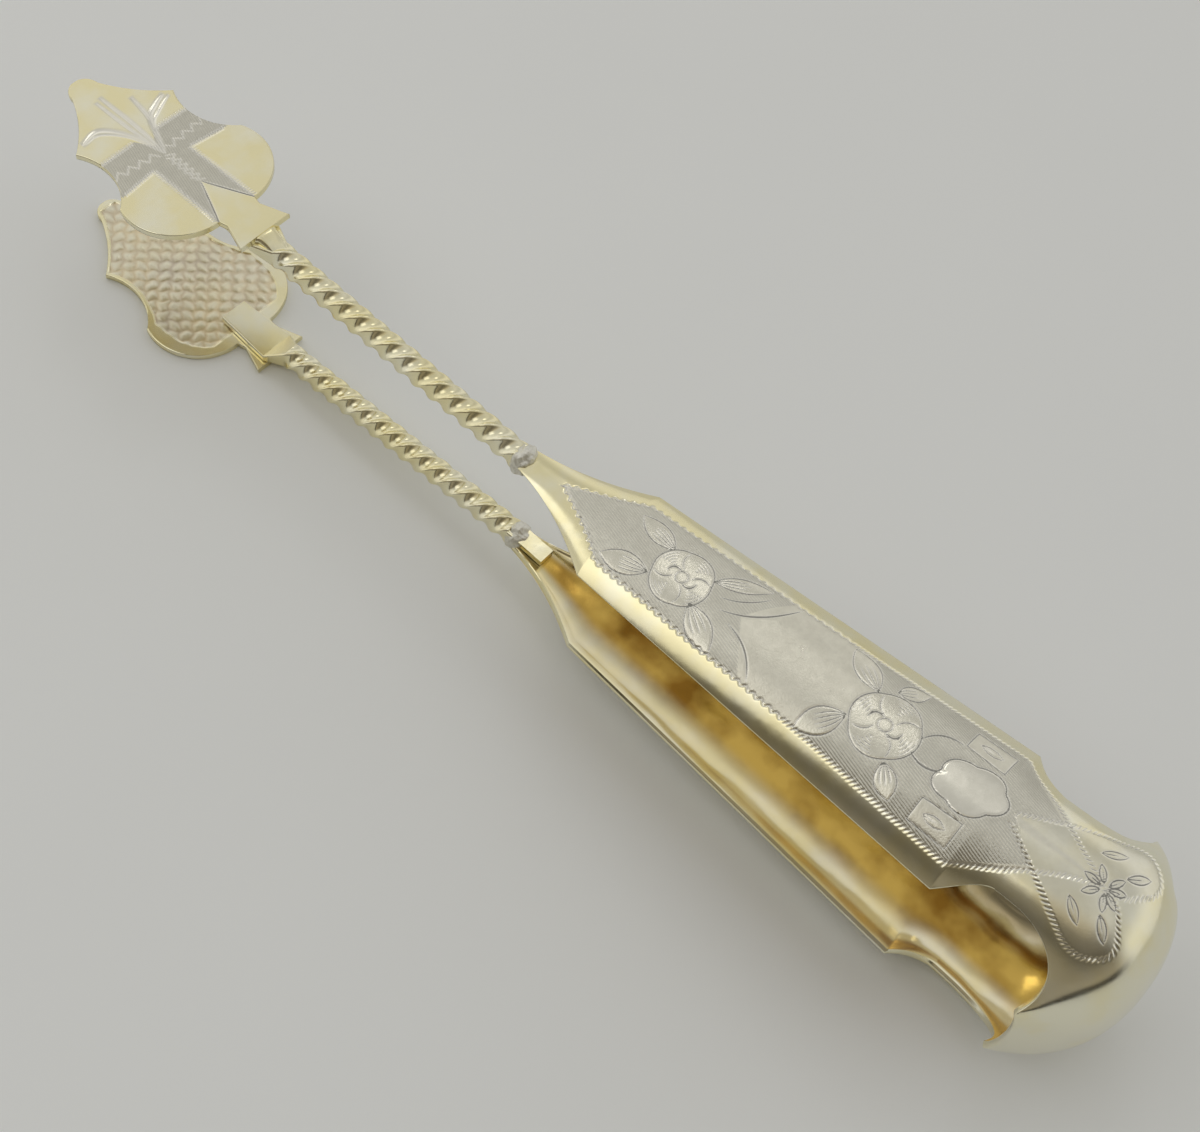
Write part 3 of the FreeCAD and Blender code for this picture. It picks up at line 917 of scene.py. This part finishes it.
def metal(name, engraved, polish, grain=0.0, shade=0.0):
    """Silver gilt, worn paler in places; with engraved fields left silver where the attributes say so."""
    g = Graph(name, 1.0)
    wear = g.times(g.minus(g.noise(160, 4), 0.42), 3.0)
    if engraved:
        run = g.attribute("run")
        wear = g.plus(wear, g.maths("MAXIMUM", g.minus(g.times(run, 0.014), 0.7), 0.0))
    clamp = g.nodes.new("ShaderNodeClamp")
    g.links.new(wear, clamp.inputs[0])
    colour = g.blend(clamp.outputs[0], GILT, GILT_PALE)
    rough = g.plus(g.times(g.noise(420, 5, 0.6), 0.12), polish - 0.06)
    height = g.times(g.noise(2600, 2, 0.6), 0.02 + grain)
    height = g.plus(height, g.times(g.noise(330, 2), 0.35))
    if engraved:
        silver, cut, hatch, satin, inner, side = (
            g.attribute(key) for key in ("silver", "cut", "hatch", "satin", "inner", "side")
        )
        # Painted shade and reflection: where the inner attribute says, the gilt is painted deep amber, mottled with
        # brown by noise.
        amber_shade = g.times(g.minus(g.noise(130, 3), 0.4), 3.5)
        colour = g.blend(inner, colour, g.blend(amber_shade, GILT_DEEP, GILT_BROWN))
        colour = g.blend(silver, colour, g.blend(g.noise(900, 4, 0.65), SILVER, SILVER_DULL))
        colour = g.blend(g.times(hatch, shade), colour, HATCH_GREY)
        colour = g.blend(g.times(cut, 0.9), colour, SILVER_CUT)
        # Painted shade: the middle of each cut, where its mask is strongest, is painted dark towards SHADE.
        groove_shade = g.nodes.new("ShaderNodeMapRange")
        groove_shade.interpolation_type = "SMOOTHSTEP"
        for key, value in (("From Min", 0.55), ("From Max", 1.0), ("To Max", 0.85)):
            groove_shade.inputs[key].default_value = value
        g.links.new(cut, groove_shade.inputs["Value"])
        colour = g.blend(groove_shade.outputs[0], colour, SHADE)
        lines = g.times(g.plus(g.times(run, hatch_lean), side), 2 * math.pi / hatch_pitch)
        lines = g.times(g.maths("SINE", lines), hatch)
        tooth = g.times(g.noise(3800, 3, 0.75), g.times(satin, 0.85))
        height = g.plus(g.plus(height, g.times(lines, 0.28)), tooth)
        colour = g.blend(g.times(g.maths("LESS_THAN", lines, -0.35), 0.35), colour, HATCH_LINE)
        rough = g.plus(rough, g.times(satin, 0.16))
    g.bump(height, 0.5, 0.00012)
    return g.finish(colour, rough)


def solder_metal():
    g = Graph("solder_silver", 1.0)
    pits = g.noise(1500, 5, 0.7)
    g.bump(pits, 0.7, 0.0003)
    return g.finish(g.blend(pits, SOLDER, SOLDER_BRIGHT), g.plus(g.times(pits, 0.3), 0.25))


def floor_material():
    g = Graph("paper")
    g.bump(g.noise(900, 6, 0.6), 0.05, 0.0002)
    return g.finish(g.blend(g.noise(18, 4), PAPER, PAPER_PALE), 0.8)


# ---- Pieces ----
strip_gilt = metal("strip_gilt", True, polish=0.16, shade=0.22)
bar_gilt = metal("bar_gilt", False, polish=0.2)
blade_gilt = metal("blade_gilt", True, polish=0.2, grain=0.04, shade=0.4)
solder = solder_metal()

handle_stations = 538  # the most that keeps a handle under 200000 triangles
handle_at = at_places(0, waist_at, handle_stations)
handle_across = spaced(0.84, 128, 12)
handle_inner = np.linspace(-1, 1, 29)[1:-1]
bow_at = at_places(waist_at, 2, 200)
bow_across = spaced(0.86, 150, 16)
bow_inner = np.linspace(-1, 1, 41)[1:-1]

for which, lower in (("upper", False), ("lower", True)):
    arm = which + "_arm"
    handle = shell(which + "_handle_skin", handle_at, handle_across, handle_inner, lower, wrinkle=0.12)
    handle.data.materials.append(strip_gilt)
    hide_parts(which + "_handle")
    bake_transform(handle)
    half_bow = shell(which + "_bow_skin", bow_at, bow_across, bow_inner, lower, wrinkle=0.16)
    half_bow.data.materials.append(strip_gilt)
    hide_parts("bow")
    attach(half_bow, "bow")
    plate = blade(which + "_blade_skin", lower)
    plate.data.materials.append(blade_gilt)
    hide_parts(which + "_blade")
    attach(plate, arm)
    collar = solder_blob(which + "_collar_solder", which + "_collar", 3.1 + lower)
    bead = joint_flow(which + "_bead_solder", lower)
    for kind, blob, finish in (("collar", collar, solder), ("bead", bead, bar_gilt)):
        blob.data.materials.append(finish)
        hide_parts(f"{which}_{kind}")
        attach(blob, arm)
    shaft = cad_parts[which + "_shaft"]
    for place in shaft.material_slots:
        place.material = bar_gilt


# ---- Stage, light and camera ----
floor_gap = 0.00002  # keeps the floor clear of the lower blade's face
bpy.ops.mesh.primitive_plane_add(size=6, location=(0, 0, -floor_gap))
floor = bpy.context.active_object
floor.name = "table_top"
floor.data.materials.append(floor_material())


def softbox(name, direction, distance, size, power):
    """Rectangular lamp that faces the origin from the given direction."""
    light = bpy.data.lights.new(name, "AREA")
    light.shape = "RECTANGLE"
    light.size, light.size_y = size
    light.energy = power
    lamp = add_piece(name, light)
    d = Vector(direction).normalized()
    lamp.location = d * distance
    lamp.rotation_euler = d.to_track_quat("Z", "Y").to_euler()


softbox("window", (-0.40, -0.43, 0.81), 0.7, (0.42, 0.30), 0.25)
softbox("skylight", (-0.31, 0.45, 0.84), 0.8, (0.16, 0.20), 0.115)
softbox("wall", (-0.80, 0.10, 0.50), 0.8, (0.7, 0.5), 0.2)

world = bpy.data.worlds.new("studio")
bpy.context.scene.world = world
world.use_nodes = True
wn, wl = world.node_tree.nodes, world.node_tree.links
wn.clear()
background = wn.new("ShaderNodeBackground")
wl.new(background.outputs[0], wn.new("ShaderNodeOutputWorld").inputs[0])
sky = wn.new("ShaderNodeTexCoord")
split = wn.new("ShaderNodeSeparateXYZ")
wl.new(sky.outputs["Generated"], split.inputs[0])


def sky_ramp(stops, tint=(1, 1, 1)):
    """Brightness of the room at each height, from the horizon at 0 to overhead at 1 (both ends come first)."""
    ramp = wn.new("ShaderNodeValToRGB")
    ramp.color_ramp.interpolation = "EASE"
    for i, (height, level) in enumerate(stops):
        stop = ramp.color_ramp.elements[i] if i < 2 else ramp.color_ramp.elements.new(height)
        stop.position, stop.color = height, (*(level * t for t in tint), 1)
    wl.new(split.outputs["Z"], ramp.inputs[0])
    return ramp


near_sky = sky_ramp([
    (0.0, 0.02), (1.0, 0.5), (0.11, 0.03), (0.17, 0.26), (0.36, 0.2), (0.55, 0.1), (0.74, 0.16), (0.9, 0.4),
], tint=(1.08, 0.97, 0.78))
far_sky = sky_ramp([(0.0, 0.64), (1.0, 0.5), (0.3, 0.72), (0.66, 0.48), (0.86, 0.6)])
towards = wn.new("ShaderNodeVectorMath")
towards.operation = "DOT_PRODUCT"
towards.inputs[1].default_value = (-0.45, 0.89, 0)
wl.new(sky.outputs["Generated"], towards.inputs[0])
facing = wn.new("ShaderNodeMapRange")
facing.interpolation_type = "SMOOTHSTEP"
for key, value in (("From Min", -0.55), ("From Max", -0.1), ("To Min", 1), ("To Max", 0)):
    facing.inputs[key].default_value = value
wl.new(towards.outputs["Value"], facing.inputs["Value"])
room = wn.new("ShaderNodeMix")
room.data_type = "RGBA"
wl.new(facing.outputs[0], room.inputs[0])
wl.new(far_sky.outputs[0], room.inputs[6])
wl.new(near_sky.outputs[0], room.inputs[7])
wl.new(room.outputs[2], background.inputs[0])
background.inputs[1].default_value = 1.08

# The camera was solved from the outlines of the two arms.
camera_data = bpy.data.cameras.new("camera")
camera_data.sensor_width = 36
camera_data.lens = 53.689
camera_data.clip_start, camera_data.clip_end = 0.01, 20
camera = add_piece("camera", camera_data)
right = Vector((0.74166442, 0.66312535, 0.10098844))
down = Vector((0.62062997, -0.62128692, -0.47835239))
forward = right.cross(down)
camera.matrix_world = Matrix((
    (right.x, -down.x, -forward.x, 0.06528254),
    (right.y, -down.y, -forward.y, -0.09437565),
    (right.z, -down.z, -forward.z, 0.21177498),
    (0, 0, 0, 1),
))
bpy.context.scene.camera = camera
bpy.context.scene.view_settings.view_transform = "Standard"

bpy.context.view_layer.update()
